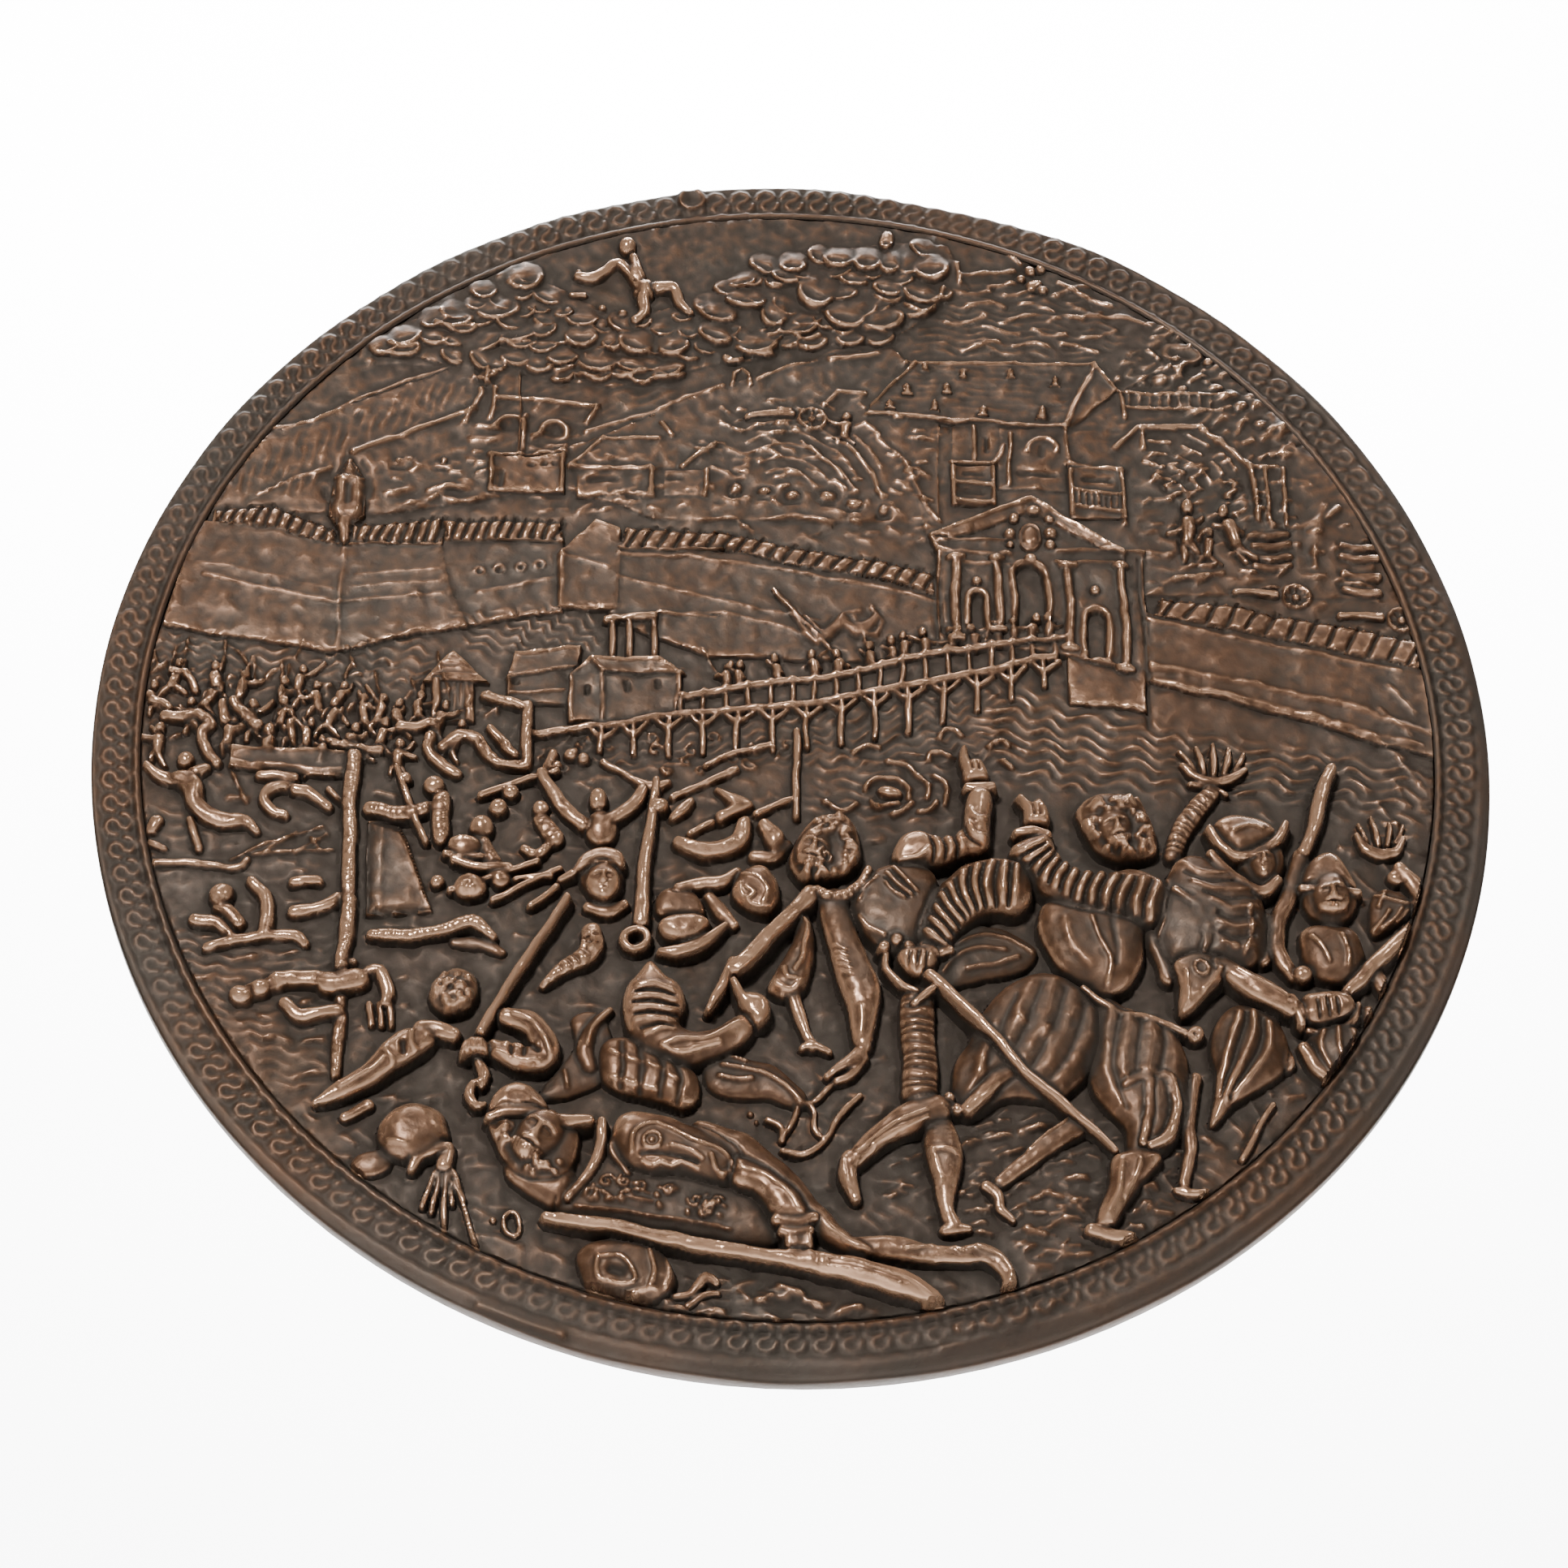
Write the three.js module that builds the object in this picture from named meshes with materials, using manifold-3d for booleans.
// Round relief plaque: one cast-metal disc with a siege scene in relief inside a chain border.
// Millimetres. Z is up, the front faces -Y, and the origin is at the centre of the flat back.
import * as THREE from 'three';
import { mergeVertices } from 'three/addons/utils/BufferGeometryUtils.js';
import Module from 'manifold-3d';

const wasm = await Module();
wasm.setup();

// ---- driving dimensions ----
const RIM_RADIUS = 99.3; // mean radius of the outer edge
const RIM_OFFSET = [0.52, -0.95]; // the cast edge is a little off the centre of the picture
const RIM_DIP = { at: 76, width: 9, depth: 0.9 }; // degrees, degrees, mm: a flat spot at the top
const LINE_RADIUS = 92.6; // raised line round the picture
const BAND_OUTER = 98;
const FIELD = 3; // thickness of the plate under the picture
const BAND_THICK = 2.7;
const EDGE_THICK = 2.2;
const LINE_RISE = 0.6;
const TOP = 8.6; // greatest depth, over the nearest arms
const CHAIN_LINKS = 158;
const CHAIN_RADIUS = 95.4;
const CHAIN_DROP = 1; // the chain runs nearer the picture at the bottom
const LINK_RISE = 0.5;
const LINK_SLANT = -1.1;
const PLATE_SIDES = 64;
const ROOT = 0.4; // how far each form is sunk into what carries it
const DROP = 0.6; // a form that stands proud sits lower by this share of its lift
const THICK_LIMB = 1.9;
const ROUND_SECTION = [[1, -1], [1, 0], [0.6, 0.75], [-0.6, 0.75], [-1, 0], [-1, -1]];
const RIDGE_SECTION = [[1, -1], [1, 0], [0, 0.85], [-1, 0], [-1, -1]];
const DEG = Math.PI / 180;

// The picture is drawn in a sheet frame: x to the right, y up, z out of the flat back.

// ---- solids ----
function solid(geometry) {
  const bare = geometry.index ? geometry.toNonIndexed() : geometry.clone();
  bare.deleteAttribute('normal');
  bare.deleteAttribute('uv');
  const merged = mergeVertices(bare, 1e-4);
  const corners = Array.from(merged.index.array);
  const faces = Array.from({ length: corners.length / 3 }, (_, i) => corners.slice(3 * i, 3 * i + 3));
  const whole = faces.filter(([a, b, c]) => a !== b && b !== c && c !== a);
  return new wasm.Manifold(new wasm.Mesh({
    numProp: 3,
    vertProperties: new Float32Array(merged.attributes.position.array),
    triVerts: new Uint32Array(whole.flat()),
  }));
}

// Skins a stack of closed rings that all have the same number of points, with a fan at each end.
function skin(rings) {
  const sides = rings[0].length;
  const points = rings.flat();
  const index = [];
  for (let r = 0; r < rings.length - 1; r += 1) {
    for (let s = 0; s < sides; s += 1) {
      const a = r * sides + s;
      const b = r * sides + ((s + 1) % sides);
      index.push(a, b, a + sides, b, b + sides, a + sides);
    }
  }
  const last = (rings.length - 1) * sides;
  for (let s = 1; s < sides - 1; s += 1) {
    index.push(0, s + 1, s, last, last + s, last + s + 1);
  }
  const geometry = new THREE.BufferGeometry();
  geometry.setAttribute('position', new THREE.Float32BufferAttribute(points.flat(), 3));
  geometry.setIndex(index);
  return geometry;
}

function rimRadius(angle) {
  const off = (angle / DEG - RIM_DIP.at) / RIM_DIP.width;
  return RIM_RADIUS + RIM_OFFSET[0] * Math.cos(angle) + RIM_OFFSET[1] * Math.sin(angle)
    - RIM_DIP.depth * Math.exp(-off * off);
}

// The disc, from the middle of the face out over the line, the band and the edge to the flat back.
function plate() {
  const ring = (radius, height) => Array.from({ length: PLATE_SIDES }, (_, i) => {
    const angle = (i * 2 * Math.PI) / PLATE_SIDES;
    const r = radius(angle);
    return [r * Math.cos(angle), r * Math.sin(angle), height];
  });
  return skin([
    ring(rimRadius, 0),
    ring(rimRadius, EDGE_THICK),
    ring(() => BAND_OUTER - 0.9, EDGE_THICK + 0.1),
    ring(() => LINE_RADIUS, FIELD + LINE_RISE),
    ring(() => LINE_RADIUS - 0.7, FIELD),
  ]);
}

// A strip with a rounded back that follows a path of [x, y, half width], lifted off the field.
// A thin one has a plain ridge for its back.
function limb(lift, ...path) {
  const thick = Math.max(...path.map(([, , half]) => half)) > THICK_LIMB;
  const section = thick ? ROUND_SECTION : RIDGE_SECTION;
  const spine = path.map(([x, y]) => new THREE.Vector2(x, y - DROP * lift));
  const rings = spine.map((point, i) => {
    const before = spine[Math.max(i - 1, 0)];
    const after = spine[Math.min(i + 1, spine.length - 1)];
    const along = after.clone().sub(before).normalize();
    const across = new THREE.Vector2(-along.y, along.x);
    const half = path[i][2];
    const end = i === 0 ? -0.5 : (i === spine.length - 1 ? 0.5 : 0);
    const middle = point.clone().addScaledVector(along, end * half);
    return section.map(([u, v]) => {
      const foot = middle.clone().addScaledVector(across, u * half);
      const height = v < 0 ? FIELD - ROOT : FIELD + lift + v * half;
      return [foot.x, foot.y, Math.min(height, TOP)];
    });
  });
  return skin(rings);
}

// A rounded boss: an ellipse on plan, turned by a number of degrees, that rises to a given height.
function boss(x, y, rx, ry, rise, turn = 0, sides = 8) {
  const profile = [[0, FIELD - ROOT], [1, FIELD - ROOT], [0.78, FIELD + rise * 0.8], [0, FIELD + rise]];
  const lathe = new THREE.LatheGeometry(profile.map(([r, h]) => new THREE.Vector2(r, h)), sides);
  lathe.rotateX(Math.PI / 2);
  lathe.scale(rx, ry, 1);
  lathe.rotateZ(turn * DEG);
  lathe.translate(x, y - DROP * rise * 0.5, 0);
  return lathe;
}

// A small pointed stud: a head far off, or a dormer window.
function stud(x, y, radius, rise) {
  const cone = new THREE.ConeGeometry(radius, ROOT + rise, 4);
  cone.rotateX(Math.PI / 2);
  cone.translate(x, y, FIELD + (rise - ROOT) / 2);
  return cone;
}

// A flat-faced form with upright sides, such as a wall, a roof or a panel.
function slab(rise, outline, holes = []) {
  const toVectors = (points) => points.map(([x, y]) => new THREE.Vector2(x, y));
  const shape = new THREE.Shape(toVectors(outline));
  shape.holes = holes.map((hole) => new THREE.Path(toVectors(hole)));
  const geometry = new THREE.ExtrudeGeometry(shape, { depth: ROOT + rise, bevelEnabled: false });
  geometry.translate(0, 0, FIELD - ROOT);
  return geometry;
}

// A straight batten between two points.
function bar(rise, [x0, y0], [x1, y1], width) {
  const length = Math.hypot(x1 - x0, y1 - y0);
  const box = new THREE.BoxGeometry(length, width, ROOT + rise);
  box.rotateZ(Math.atan2(y1 - y0, x1 - x0));
  box.translate((x0 + x1) / 2, (y0 + y1) / 2, FIELD + (rise - ROOT) / 2);
  return box;
}

function path(rise, width, ...points) {
  return points.slice(1).map((point, i) => bar(rise, points[i], point, width));
}

const mix = (a, b, t) => a + (b - a) * t;
const between = ([x0, y0], [x1, y1], t) => [mix(x0, x1, t), mix(y0, y1, t)];

function rectangle(x0, y0, x1, y1) {
  return [[x0, y0], [x1, y0], [x1, y1], [x0, y1]];
}

// An opening with upright jambs and a round head.
function archway(x, sill, spring, half) {
  const head = Array.from({ length: 5 }, (_, i) => {
    const turn = (i * Math.PI) / 4;
    return [x + half * Math.cos(turn), spring + half * Math.sin(turn)];
  });
  return [[x - half, sill], [x + half, sill], ...head];
}

// ---- border ----
function chain() {
  return Array.from({ length: CHAIN_LINKS }, (_, i) => {
    const turn = ((i + 0.5) * 2 * Math.PI) / CHAIN_LINKS;
    const worn = Math.max(0, -Math.sin(turn));
    const half = mix(2, 1.3, worn);
    const link = new THREE.ConeGeometry(1, 2.4 * LINK_RISE, 3);
    link.rotateX(Math.PI / 2);
    link.scale(0.9, half, 1);
    link.translate(0, 0, BAND_THICK);
    link.rotateZ(turn + LINK_SLANT);
    const radius = CHAIN_RADIUS - CHAIN_DROP * worn;
    link.translate(radius * Math.cos(turn), radius * Math.sin(turn), 0);
    return link;
  });
}

// ---- the town and its walls ----
function hills() {
  return [
    ...path(0.5, 0.9, [-77, 50.5], [-64, 56.3], [-48, 64.2]),
    ...path(0.7, 1.1, [-64, 46.5], [-47, 54.8]),
    ...path(0.5, 0.8, [-78, 39], [-67.5, 44]),
    ...path(0.5, 0.9, [-30.5, 51], [-10, 60]),
    ...path(0.5, 0.9, [-5, 61], [15, 68.5]),
    ...path(0.6, 1, [26.5, 78.6], [35.5, 81], [38, 79.5], [48.5, 76]),
  ];
}

function clouds() {
  return [
    [-57.6, 68, 2.4, 2.2], [-51, 71.2, 2.8, 2.4], [-43.5, 73.6, 3.7, 2.8], [-40.5, 79, 3.2, 2.7],
    [-42, 68, 3.4, 2.1], [-37.3, 70, 2.1, 2], [-31.3, 68.5, 2.5, 2.3], [-29.5, 63.8, 3.4, 2.3],
    [-23, 67.7, 2.4, 2.6], [-18, 67.4, 2.4, 2.6], [-11, 69.8, 3, 2.8], [-7, 78, 2.4, 2.8],
    [-10.5, 74, 2.6, 2], [-6.5, 67, 3.6, 2.8], [-2, 73.3, 1.9, 3], [0.3, 82.8, 2, 2.4],
    [4.5, 78, 2.8, 3.6], [9.2, 84, 4, 2.4], [10.4, 73, 4.6, 3.2], [15.5, 80.8, 1.8, 3.6],
    [21.3, 83, 2.6, 3.2], [20, 77, 2.7, 2.6],
  ].map(([x, y, rx, ry]) => boss(x, y, rx, ry, 1, 0, 6));
}

function bastion() {
  const wall = slab(0.9, [[-84.5, 34.3], [-84.5, 12], [-65.2, 15], [-48, 17.5], [-50.8, 31.2],
    [-65.2, 30.6]]);
  const parapet = slab(1.4, [[-82.5, 35.2], [-66.8, 31.6], [-51, 31.6], [-52, 35], [-66.5, 35], [-80, 38]]);
  const box = slab(1.9, [[-65, 34.4], [-62.4, 37], [-62.4, 43], [-64.3, 45.6], [-67.2, 43], [-67.2, 37]]);
  return [wall, parapet, box,
    ...path(1.3, 0.9, [-84.5, 24.8], [-65.2, 20.2], [-48.6, 22.3]),
    bar(1.2, [-65.2, 16], [-65.2, 31], 1.2),
    bar(1.6, [-65, 30.6], [-65, 34.6], 1.6)];
}

function longWall() {
  const curtain = slab(0.5, [[-49.6, 31.5], [-46.5, 20], [-33.5, 21], [-33.5, 31.5]]);
  const flank = slab(0.9, [[-33.4, 21], [-25.4, 21], [-25.4, 35], [-28.4, 35], [-33.4, 29.5]]);
  const wall = slab(0.8, [[-25.4, 20.5], [5, 15], [22, 14], [22.5, 23], [0, 28], [-25.4, 31]]);
  const ravelin = slab(1.2, [[-2, 23.3], [5, 15.8], [7.5, 19.4], [10, 20], [10, 24], [0, 25.5]]);
  const parapet = slab(1.5, [[-25, 31], [-8, 30.5], [21.5, 23.8], [22, 27], [0, 31.8], [-23.5, 34.7]]);
  const merlons = slab(1.1, [[-49.4, 32.2], [-33, 32.8], [-31, 35.3], [-49.8, 35.2]]);
  return [curtain, flank, wall, ravelin, parapet, merlons,
    ...path(1.1, 0.7, [-25.4, 25.6], [-5, 20.2], [6, 14.6]),
    bar(1.2, [-33.4, 29.1], [-26.4, 27.2], 0.8)];
}

function rightWall() {
  const wall = slab(0.7, [[51.5, 1], [92, -7], [91.6, 13], [55, 21], [51.5, 19.5]]);
  const top = [[55, 21], [89.5, 13]];
  const stones = Array.from({ length: 7 }, (_, i) => {
    const [x0, y0] = between(...top, i / 7 + 0.012);
    const [x1, y1] = between(...top, (i + 1) / 7 - 0.025);
    return slab(1.5, [[x0, y0], [x1, y1], [x1 + 1.6, y1 + 3.2], [x0 + 1.6, y0 + 3.4]]);
  });
  return [wall, ...stones,
    ...path(1.2, 0.9, [51.5, 19.2], [89.5, 11]),
    ...path(1.3, 1.3, [51.8, 11.6], [92, 0.8]),
    ...path(1.1, 1, [52.3, 9.3], [91.5, -1.2])];
}

function gate() {
  const arches = [archway(35, 16.5, 24.2, 2), archway(27.1, 17.5, 21, 1.15), archway(44.5, 13, 18, 1.35)];
  const front = slab(1, [[22.5, 15.5], [40, 14], [49.8, 10.6], [49.8, 31], [22.5, 31]], arches);
  const pediment = slab(1.2, [[21, 31], [49.6, 30.6], [35.4, 40.4], [20.5, 34]]);
  const columns = [[24, 16], [30.2, 17], [40.6, 14.5], [48.4, 11.5]];
  return [front, pediment,
    ...columns.map(([x, foot]) => bar(1.5, [x, foot], [x, 30], 1.3)),
    ...path(1.9, 1.1, [20.6, 34], [35.4, 40.2], [49.4, 30.8]),
    bar(1.6, [21.5, 31], [55.6, 31.2], 0.9),
    boss(35.2, 34.2, 2.9, 3.5, 2.1),
    slab(0.6, [[40, 5], [50, 4], [50, 10.6], [40, 13.6]])];
}

// Left end, right end and deck height of the timber bridge.
const DECK = [[-36, -1.2], [42, 13.7]];
function bridge() {
  const share = (x) => (x - DECK[0][0]) / (DECK[1][0] - DECK[0][0]);
  const deckAt = (x) => between(...DECK, share(x))[1];
  const railAt = (x) => deckAt(x) + mix(3.1, 2.6, share(x));
  const posts = Array.from({ length: 18 }, (_, i) => {
    const x = -15.4 + i * 3.15;
    return bar(0.8, [x, deckAt(x)], [x, railAt(x)], 0.7);
  });
  const trestles = [-27, -20, -14, -9, -4, 1.3, 6.3, 11.2, 17, 23.2, 28.6, 33, 36.6].map((x) => {
    const y = deckAt(x) - 0.3;
    return slab(0.9, [[x - 2.9, y], [x - 0.5, y - 2.6], [x - 0.3, y - 5.2], [x + 0.6, y - 5.2],
      [x + 0.5, y - 2.6], [x + 2.9, y]]);
  });
  return [bar(1.3, DECK[0], DECK[1], 1.1), bar(1.1, [-15.5, railAt(-15.5)], [39, railAt(39)], 0.9),
    ...posts, ...trestles];
}

function blockhouse() {
  return [
    slab(1.8, [[-31, 1], [-16, 1.6], [-16, 9.5], [-19, 11.2], [-29, 11.2], [-31, 8.5]],
      [rectangle(-24, 6, -22.7, 7.6), rectangle(-19.8, 6.4, -18.7, 7.9)]),
    slab(1.5, [[-40.5, 8], [-31, 10], [-30, 13], [-38.8, 12.3]]),
    slab(0.8, [[-40, 4], [-31, 4], [-31, 9.8], [-40, 8]]),
    ...path(1, 1.1, [-25.6, 11], [-25.6, 18.6], [-19.4, 18.6], [-19.4, 11]),
    bar(1, [-23, 11], [-23, 18.4], 0.9),
    slab(1.2, [[-50.5, 0.5], [-45, 0.5], [-45, 7], [-50.5, 7]]),
    slab(1.6, [[-52.3, 6.8], [-43, 7.2], [-46.8, 12], [-48.8, 12]]),
    ...path(1.8, 1.5, [-43.5, 4.7], [-37.5, 3.4], [-37.5, -6.5]),
  ];
}

function townHouses() {
  const roof = slab(1.1, [[11.8, 54.8], [41.4, 53.2], [45.7, 65], [18.5, 65.5]]);
  const dormers = [[17.5, 60.3], [23.4, 60.4], [14.8, 57], [21.4, 57.2], [28.7, 56.6], [37.5, 56.5],
    [26, 63.3], [33, 63.1], [39.5, 61.9]].map(([x, y]) => stud(x, y, 1.3, 2.2));
  return [roof, ...dormers,
    slab(0.7, rectangle(24, 40.5, 41, 53.4), [archway(37.4, 46.5, 49, 2.2), rectangle(25.5, 48, 31, 52.5)]),
    bar(1.5, [11.6, 55], [41.5, 53.4], 1),
    ...path(1.5, 1.1, [41.4, 47.5], [41.4, 53.5], [45.7, 65], [48.8, 60.4]),
    ...path(1.2, 0.9, [41, 47], [49.5, 45.6], [49.3, 36]),
    ...path(1.2, 1.1, [48.3, 49.8], [51.6, 53.9], [60.5, 53.8], [66.2, 48.4], [68.2, 44], [68.3, 36]),
    ...path(1, 0.8, [49.6, 55], [49.6, 60], [65, 60]),
    slab(1, rectangle(-44, 40, -33.3, 46.9), [rectangle(-42, 40.8, -40.8, 44)]),
    slab(1, [[-31.5, 40], [-20, 39.5], [-20, 44.4], [-31.5, 44.2]]),
    slab(1.1, [[-19.7, 39.3], [-13.8, 39.8], [-14.2, 43.8], [-10.8, 49.2], [-18.4, 52], [-24, 50.8],
      [-20, 45]]),
    ...path(0.9, 1, [-42.3, 57.3], [-28.8, 55.7], [-28.8, 53.4]),
    ...path(1, 0.9, [-48, 52.6], [-45.2, 60.5], [-44.9, 53]),
    bar(1.1, [-39.2, 42], [-39.2, 54], 1.3),
    boss(-45, 61, 2, 1.6, 1.2, 0, 6),
    boss(-0.5, 43.5, 8.5, 7.5, 1, 0, 10),
    slab(0.8, [[9, 37], [21.5, 36], [19, 45], [13, 51], [6, 51]]),
    boss(35, 72, 13, 5.5, 0.7, 0, 10),
  ];
}

function guns() {
  return [[65.3, 25, 71, 24.4, 74.4, 24], [80, 21.3, 85.5, 21.2, 88.4, 20.2],
    [-6.3, 54.6, 0.5, 55.2, 2.2, 53.8]]
    .flatMap(([x0, y0, x1, y1, wx, wy]) => [
      bar(1.2, [x0, y0], [x1, y1], 1),
      boss(wx, wy, 2, 2, 1.3, 0, 7),
    ]);
}

// ---- small figures ----
// A standing or falling man, cut flat: hip, shoulder, head, then hands and feet.
function smallMan(rise, hip, shoulder, head, hands, feet) {
  const [girth, wrist, skull] = [1.8, 0.9, 1].map((size) => size * (0.8 + rise * 0.25));
  return [
    bar(rise, hip, shoulder, girth),
    stud(...head, skull * 1.3, rise + 0.9),
    ...hands.map((hand) => bar(rise, shoulder, hand, wrist)),
    ...feet.map((foot) => bar(rise, hip, foot, wrist)),
  ];
}

function crowd() {
  return [
    smallMan(0.8, [-83, -3], [-83.5, 0], [-84.8, 2.8], [[-88.5, 0.5]], [[-81, -7], [-78.5, -4.8]]),
    smallMan(0.8, [-81.5, 3], [-82, 6.5], [-81.6, 9.2], [[-88, 8.5]], [[-80, 0]]),
    smallMan(0.8, [-77, -0.5], [-77.5, 1], [-76.3, 3.3], [[-80, 3.3]], [[-75.5, -1.8]]),
    smallMan(0.8, [-71.5, 1], [-72, 3.6], [-72, 6.6], [[-75.5, 5.4]], [[-70.5, -0.8]]),
    smallMan(0.8, [-61.5, -2], [-63.5, 2], [-63.7, 6], [[-60.5, 4.5]], [[-65.5, -3.4], [-58.5, -3.8]]),
    smallMan(0.8, [-58, 0], [-57.5, 2.3], [-58, 4.7], [[-55, 1.5]], [[-57, -2.2]]),
    smallMan(1, [-55, -7.5], [-55.2, -5.3], [-55, -3], [[-57, -6.3]], [[-53, -9.3]]),
    smallMan(1.2, [-50.6, -3.6], [-51, 0.2], [-51.5, 3], [[-55.5, 0.2]], [[-47, -7.8]]),
    smallMan(1.2, [-43, -4.2], [-45.5, -1.7], [-46.7, 0.6], [[-49, -3.4]], [[-37.8, -6.8]]),
    smallMan(0.8, [-25.8, -18.5], [-26.4, -15], [-27, -11.5], [[-35, -7.8], [-20.8, -10]], [[-28, -22]]),
    smallMan(0.6, [-7.3, 8], [-7.3, 9.8], [-7.5, 11.4], [[-11, 12], [-4.8, 12.3]], []),
    smallMan(0.7, [17, 12.5], [16.5, 14], [16, 15.6], [[19.5, 14.7]], []),
    smallMan(0.7, [33, 15.4], [32.5, 17], [32, 18.6], [[30, 16]], []),
    smallMan(0.8, [59.1, 32.2], [58.7, 35.5], [58.5, 38.4], [[55.4, 35]], [[58.7, 30], [63.8, 28.8]]),
    smallMan(0.8, [65.4, 33], [64.3, 35.6], [64, 37.8], [[62, 35]], [[64, 31], [68, 30]]),
    smallMan(0.7, [-21.8, 75], [-22, 78.4], [-24.3, 86], [[-32, 80], [-15, 73.6]], [[-23, 72.2]]),
  ].flat();
}

// ---- men in the water at the left ----
function fallenMen() {
  return [
    limb(0.9, [-90.5, -7.3, 0.7], [-88.3, -9.3, 1.1], [-85, -9.6, 1.6], [-83.7, -12, 1.8],
      [-80.5, -16, 1.4], [-76, -16.6, 1], [-74.3, -18.3, 0.7]),
    boss(-85.3, -6.4, 1.3, 1.4, 2, 0, 6),
    limb(0.8, [-70.7, -15.2, 0.7], [-73.5, -13.5, 0.8], [-72.5, -10.6, 0.9], [-69, -10.8, 0.9],
      [-64.5, -13.6, 0.7]),
    limb(0.6, [-80, -36.5, 0.7], [-72.5, -34.2, 0.8], [-66.8, -35.2, 0.7]),
    limb(0.6, [-68.7, -30.2, 1], [-64.5, -29.4, 1], [-61, -28.6, 0.8]),
    boss(-78.7, -28.2, 1.8, 1.8, 1.6, 0, 6),
    limb(0.8, [-74.5, -43.3, 1.4], [-70, -41.6, 1.4], [-65, -41.4, 1.4], [-60.5, -41.4, 1.9],
      [-56.5, -40, 1]),
    limb(0.6, [-69, -45, 0.9], [-66.5, -47, 0.9], [-62, -46, 0.9]),
    slab(1.3, [[-79.5, -4.6], [-59.5, -5.6], [-60, -9], [-79, -7.6]]),
    limb(1.2, [-61.6, -5.5, 1], [-61.6, -40, 1.1]),
    slab(1, [[-58.7, -15.5], [-53.5, -16], [-50.4, -30.5], [-58.7, -31]]),
  ];
}

// ---- foreground ----
function lyingSoldier() {
  return [
    slab(1.6, [[-31, -75.5], [-38.5, -68.5], [-33, -63], [-26, -64], [-8, -70], [-3, -76],
      [-4, -80.5], [-20, -79.5]]),
    boss(-35.5, -65, 4.6, 4.4, 4.2),
    boss(-36.6, -59.6, 3.8, 2.4, 3.4),
    limb(2.4, [-39, -60.8, 0.9], [-33, -61.8, 1.2], [-27, -62.6, 0.6]),
    limb(1.8, [-20.5, -64.6, 4], [-6, -68.6, 3.1], [-0.2, -73, 2.4], [0.9, -78.6, 2.4], [1.3, -83, 1.8]),
    limb(0.9, [-6, -69, 3.4], [10, -80.5, 2.2], [22.5, -81.4, 1.4], [28.9, -86, 0.9]),
    limb(3.6, [-32.4, -76, 0.8], [-18, -78.2, 0.9], [4, -82.2, 1], [10.5, -84, 1.9],
      [15, -85.6, 1.7], [19.5, -88.4, 0.9]),
    boss(-22.5, -84.4, 6, 4, 3),
    limb(0.8, [-15, -85, 1.3], [-10, -86.6, 1.2], [-8.4, -89, 0.8]),
    boss(-51, -64, 4.6, 4.6, 4.4),
    boss(-55.5, -69.4, 3, 2, 1.6),
    limb(1, [-46.4, -68.6, 1.2], [-46.5, -73, 1.6], [-47, -78, 1.2]),
    limb(1.2, [-63, -59.6, 1.2], [-57, -55.6, 1.6], [-53, -52, 2.3], [-47.5, -49.4, 1.3]),
  ];
}

function swordsman() {
  return [
    limb(1.2, [-31, -27.6, 0.6], [-42, -49.2, 0.8]),
    boss(-43, -51.6, 2.2, 2, 3.2),
    limb(1.4, [-37.5, -46.8, 2], [-33, -52, 2.3], [-39, -51.6, 1.6]),
    boss(-42.6, -58.5, 2.4, 2.2, 1.8),
    boss(-46, -42.7, 3.8, 3.6, 2.8),
    limb(1.2, [-33.8, -41.8, 0.7], [-26.6, -34.4, 1.9]),
    limb(1, [-24.7, -45.7, 0.6], [-27.5, -51, 1], [-27.3, -53, 1.8]),
    boss(-26.4, -24, 3, 4.2, 2.6),
    limb(1, [-58, -33.8, 1], [-48.3, -33.4, 1.3], [-43.7, -32, 1.3]),
    limb(1.2, [-43.4, -35.5, 2.6], [-43, -30.5, 2.4]),
    boss(-44.3, -26.2, 2.4, 2.1, 2.8),
    boss(-45.3, -20, 2.2, 1.6, 2.2),
    boss(-43, -16.8, 1.8, 1.7, 2),
    limb(1, [-47, -21.8, 0.7], [-39, -22.7, 0.7]),
    limb(1, [-41, -28.3, 0.6], [-31.7, -23, 0.7]),
    limb(1, [-37, -20, 0.8], [-33, -18.3, 1.3], [-35, -15.3, 1]),
    limb(1, [-58.7, -14.2, 0.8], [-54, -14.8, 1.1], [-49.6, -13, 1.4], [-48.7, -18.3, 1.3]),
    boss(-50, -10, 1.5, 1.5, 2.2),
    limb(1.2, [-20.7, -31.3, 0.9], [-19.3, -14.3, 0.7]),
  ];
}

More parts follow.
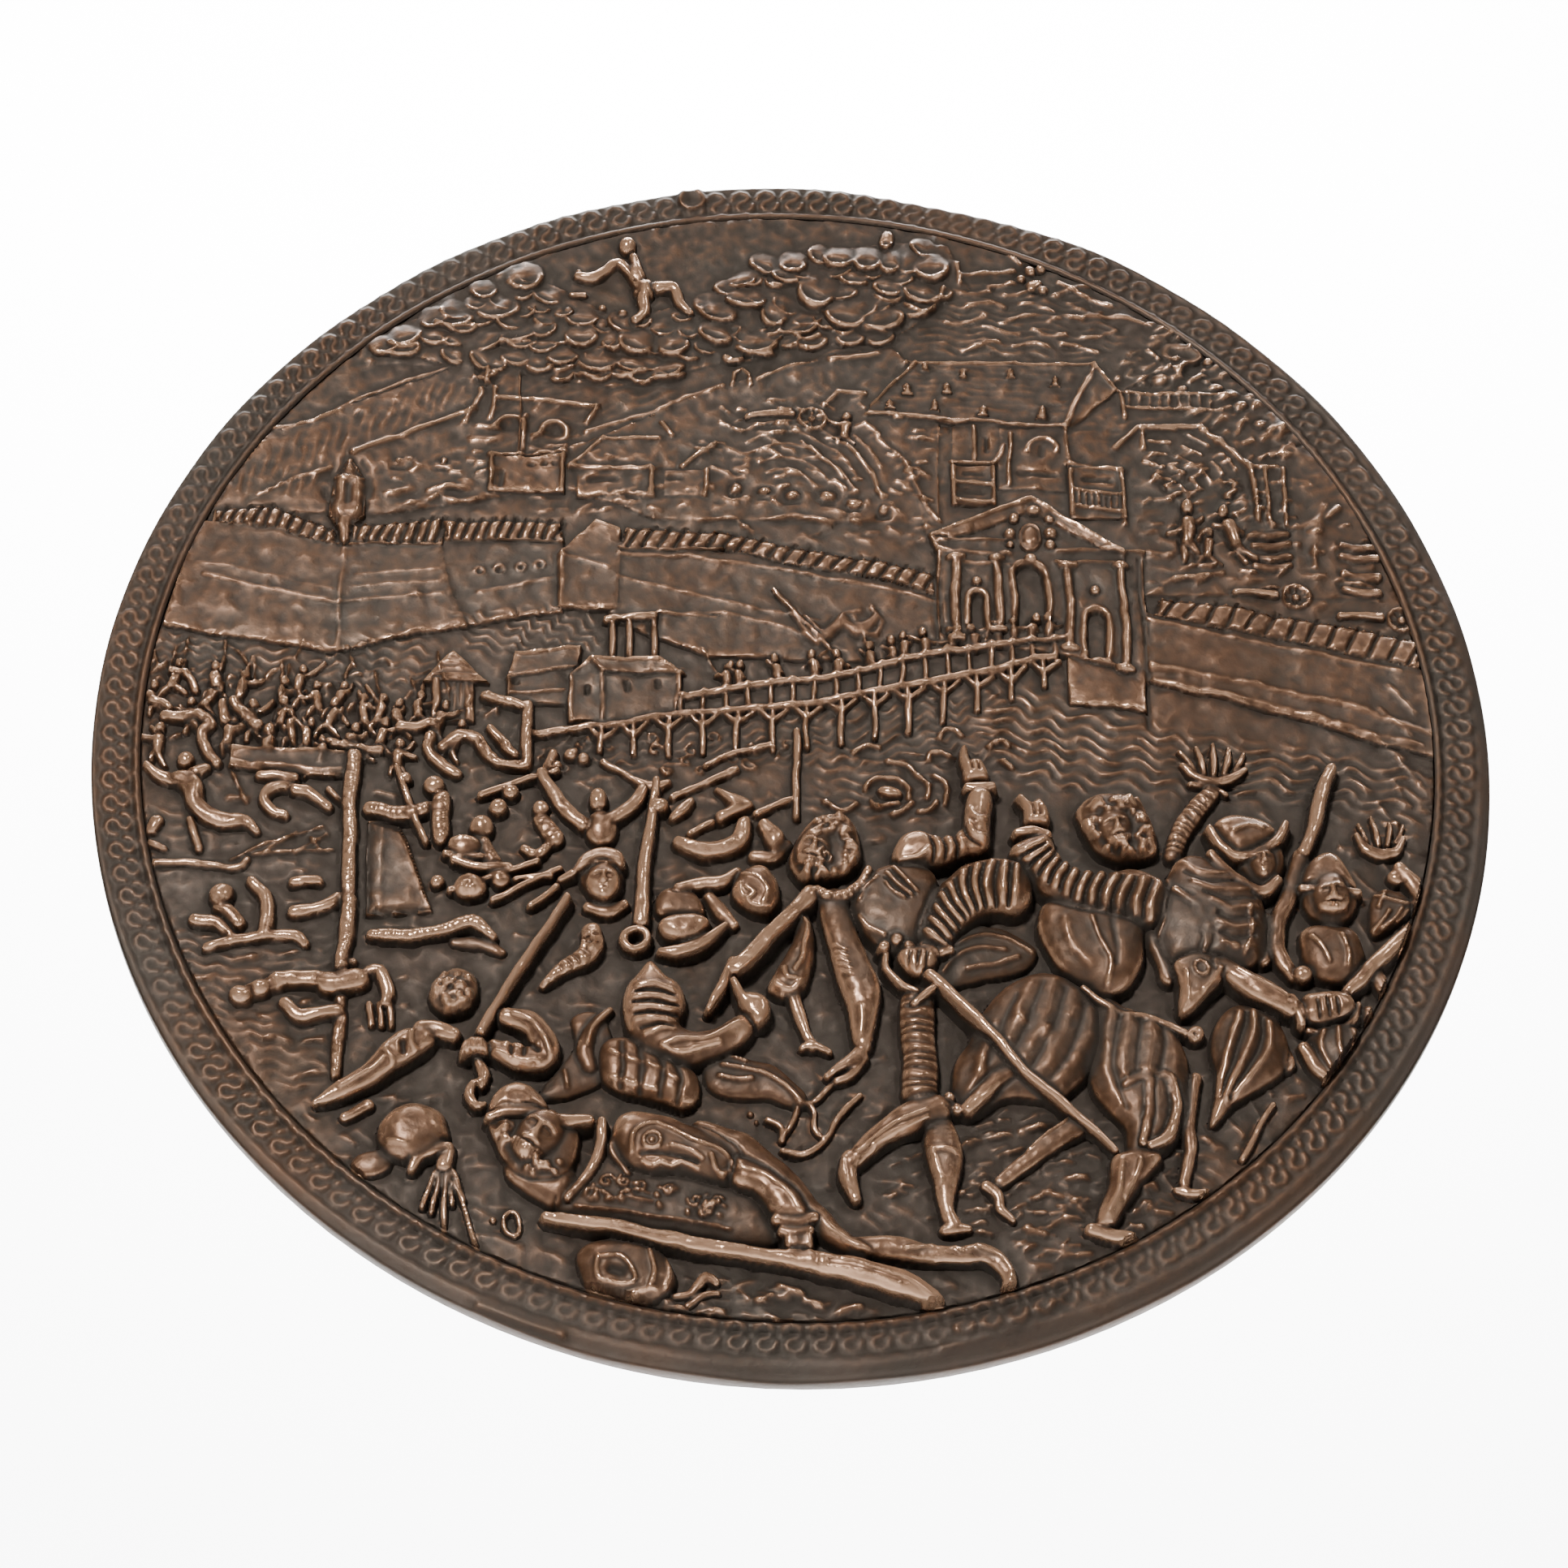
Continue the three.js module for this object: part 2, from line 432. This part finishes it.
function musketeer() {
  return [
    limb(2.2, [-19, -40.5, 3.4], [-18.4, -48.6, 3.7], [-6, -46.5, 1.9]),
    limb(2, [-6.2, -46, 1.7], [-6, -42, 1.5]),
    limb(2.6, [2.2, -26.3, 1.2], [-8.4, -38.6, 1.1], [-11.4, -45, 0.8]),
    boss(-19.5, -54.4, 6.6, 4, 3, -25),
    boss(-15, -31.8, 3.2, 2.4, 2.8),
    limb(1.4, [-18, -36, 0.8], [-13.3, -35, 0.9], [-9.3, -32, 0.6]),
    boss(-4.6, -26, 3.6, 4.2, 2.6),
    boss(-1.8, -17.8, 1.5, 1.6, 2),
    limb(1, [-15.7, -18.6, 0.9], [-11.7, -20.2, 1.2], [-6.7, -17.8, 1]),
    slab(1.2, [[-10.6, -10], [-5, -12.3], [-9.5, -15.2]]),
    limb(0.8, [2, -31, 1.4], [2, -36, 1.5], [-0.5, -41, 1.2], [2.5, -49.5, 0.9], [5.2, -51, 0.8]),
    limb(0.8, [-9.5, -54, 2], [-4, -58, 2.4], [0.5, -61, 1.6]),
    boss(-16.7, -27.7, 1.8, 1.7, 2),
    boss(14, -10.2, 3.4, 3, 1, 0, 7),
  ];
}

function soldierA() {
  return [
    boss(12.6, -29, 6.6, 7.4, 3.2, 25, 10),
    boss(4.6, -19.4, 4.6, 4.4, 4.6, 30),
    limb(2.2, [3.6, -25, 0.9], [7, -26, 1.2], [11, -22.3, 1]),
    limb(2, [16.4, -20.4, 3], [25.4, -17, 2.4], [26.6, -10, 1.7], [24.8, -3, 1]),
    limb(2.6, [31.4, -25.4, 3.2], [25.6, -25.6, 3.8], [19.6, -34, 2]),
    boss(17.4, -36.9, 2.5, 2.4, 5.2),
    limb(1.6, [4.3, -28.4, 1.8], [6.7, -38.4, 1.8], [9.3, -46.8, 1.7], [9.7, -50.4, 1.3], [6.6, -54.2, 1]),
    boss(34, -48, 7.6, 9, 3.4, 20, 10),
    limb(2.2, [28, -53, 4.2], [20, -60, 2.2], [10.4, -65.4, 1.7], [8.6, -72.8, 1]),
    limb(1.4, [17.8, -44, 2.4], [20.2, -64, 2.7], [21.7, -76.4, 1.2], [21.8, -79, 1.5]),
    limb(3.2, [18, -38, 0.8], [44, -66.3, 0.5]),
    limb(2, [14, -35.4, 0.6], [14.4, -40, 0.6], [17.2, -42.2, 0.6]),
    limb(1, [30.4, -53.2, 1], [23.3, -59.4, 0.8]),
    slab(1, [[21.5, -40], [27, -33], [33, -32], [35, -39], [30, -43]]),
  ];
}

function soldierB() {
  return [
    boss(42, -33.4, 6.8, 7.8, 3.4, 12, 10),
    boss(45.8, -14.6, 5, 4.8, 4.8, -30),
    limb(2.8, [34.4, -12.6, 1.6], [34.2, -19, 2.2], [40, -24.8, 2.9], [48.4, -26, 3.4]),
    limb(2.4, [48.4, -49, 5.4], [49.4, -60.4, 3.2], [41.6, -75.4, 1.3], [46, -78.4, 0.9]),
    limb(1.4, [40, -61, 1.6], [26.8, -71, 1], [29.4, -75.8, 0.9]),
    limb(1.8, [40, -41, 0.7], [45, -45, 0.8], [53.4, -47.4, 0.8]),
    limb(1, [59.4, -10.4, 1.2], [56, -13.6, 1.3], [53, -18.4, 0.8]),
    limb(1, [56, -4.5, 0.7], [60.5, -7.4, 1], [64.7, -5, 0.7]),
  ];
}

function soldierC() {
  return [
    boss(58.6, -27.6, 6.4, 8, 2.6, 10, 10),
    boss(64, -16.4, 4.3, 3, 4.2),
    limb(2.6, [59.2, -15.4, 0.7], [63.4, -19.6, 0.9], [68.9, -14.7, 0.7]),
    boss(65.4, -21, 2.6, 2.2, 2.4),
    slab(2.8, [[53.5, -38.4], [60.5, -38.6], [53.8, -45.2]]),
    limb(2.4, [60.3, -37.6, 1.8], [69.4, -43.2, 1.8]),
    boss(73.4, -43.2, 3.2, 2.4, 4.2),
    boss(61.5, -50.4, 4.6, 7.4, 2.6, -18, 10),
    limb(1, [54.5, -55, 1], [53, -71, 0.9], [55.8, -71.6, 0.8]),
    limb(1.2, [65.7, -58.7, 0.5], [60.7, -66.7, 0.6]),
    limb(1.4, [88, -27, 1.2], [77, -41.4, 1.2]),
    limb(1.4, [76.2, -5, 0.8], [72.2, -18, 0.8], [68, -32, 1.2], [69.8, -38.2, 0.9]),
    boss(75.2, -24.6, 3.6, 5.4, 3.4),
    boss(75.4, -34.4, 3.8, 3.4, 1.8),
    boss(75, -50, 3.8, 4.4, 1.8),
    limb(1, [79.8, -16.5, 0.7], [83, -18.6, 1], [86.3, -16.5, 0.7]),
    limb(1, [84.4, -19.6, 0.9], [85.6, -23, 1.5], [87.6, -27, 1.2]),
  ];
}

// ---- assembly ----
const forms = [
  ...hills(), ...clouds(), ...bastion(), ...longWall(), ...rightWall(), ...gate(), ...bridge(),
  ...blockhouse(), ...townHouses(), ...guns(), ...crowd(), ...fallenMen(), ...lyingSoldier(),
  ...swordsman(), ...musketeer(), ...soldierA(), ...soldierB(), ...soldierC(), ...chain(),
];
const casting = wasm.Manifold.union([solid(plate()), ...forms.map(solid)]);

function toGeometry(manifold) {
  const mesh = manifold.getMesh();
  const geometry = new THREE.BufferGeometry();
  geometry.setAttribute('position', new THREE.BufferAttribute(new Float32Array(mesh.vertProperties), 3));
  geometry.setIndex(new THREE.BufferAttribute(new Uint32Array(mesh.triVerts), 1));
  return geometry;
}

const castMetal = new THREE.MeshStandardMaterial({ color: 0x6b4a3a, roughness: 0.45, metalness: 0.85 });
const reliefPlaque = new THREE.Mesh(toGeometry(casting), castMetal);
reliefPlaque.name = 'relief_plaque';
reliefPlaque.rotation.x = Math.PI / 2;

const plaque = new THREE.Group();
plaque.add(reliefPlaque);
export default plaque;
